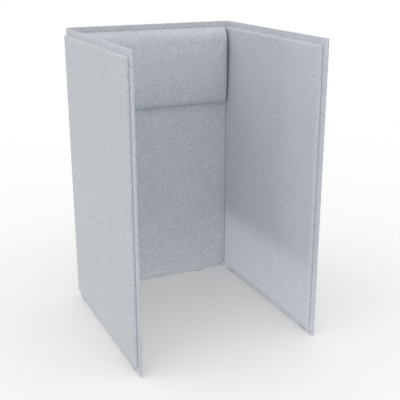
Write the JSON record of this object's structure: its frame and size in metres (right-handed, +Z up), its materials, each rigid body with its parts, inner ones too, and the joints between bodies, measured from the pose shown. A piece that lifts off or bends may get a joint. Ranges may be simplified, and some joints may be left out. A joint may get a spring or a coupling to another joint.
{
  "type": "partition screen",
  "caption": "U-shaped upholstered booth screen: thin fabric core bent round its rear corners, padded faces and a crowned bolster cushion across the inner back.",
  "frame": {"origin": "centre of the footprint, on the floor", "axes": "+Z up, +Y from the open front to the back panel, +X to the right seen from the open front"},
  "size_m": [1.044, 1.082, 1.6],
  "materials": {
    "core_board": "raw plywood",
    "core_fabric": "blue-grey melange wool felt",
    "pad_fabric": "blue-grey melange wool felt",
    "cushion_fabric": "blue-grey melange wool felt",
    "pad_backing": "hardboard",
    "foam": "open foam",
    "clip_plastic": "natural nylon",
    "glide_plastic": "matt",
    "fastener_steel": "zinc plated"
  },
  "bodies": {
    "root": {"left_core_board": "core_board", "left_core_cover": "core_fabric", "left_pad_clips": "clip_plastic", "left_glides": "glide_plastic", "back_core_board": "core_board", "back_core_cover": "core_fabric", "back_pad_clips": "clip_plastic", "back_glides": "glide_plastic", "right_core_board": "core_board", "right_core_cover": "core_fabric", "right_pad_clips": "clip_plastic", "right_glides": "glide_plastic", "left_outer_pad_board": "pad_backing", "left_outer_pad_foam": "foam", "left_outer_pad_cover": "pad_fabric", "left_inner_pad_board": "pad_backing", "left_inner_pad_foam": "foam", "left_inner_pad_cover": "pad_fabric", "back_outer_pad_board": "pad_backing", "back_outer_pad_foam": "foam", "back_outer_pad_cover": "pad_fabric", "back_inner_pad_board": "pad_backing", "back_inner_pad_foam": "foam", "back_inner_pad_cover": "pad_fabric", "right_outer_pad_board": "pad_backing", "right_outer_pad_foam": "foam", "right_outer_pad_cover": "pad_fabric", "right_inner_pad_board": "pad_backing", "right_inner_pad_foam": "foam", "right_inner_pad_cover": "pad_fabric", "cushion_board": "core_board", "cushion_foam": "foam", "cushion_cover": "cushion_fabric", "cushion_battens": "core_board", "cushion_screws": "fastener_steel"}
  },
  "joints": []
}
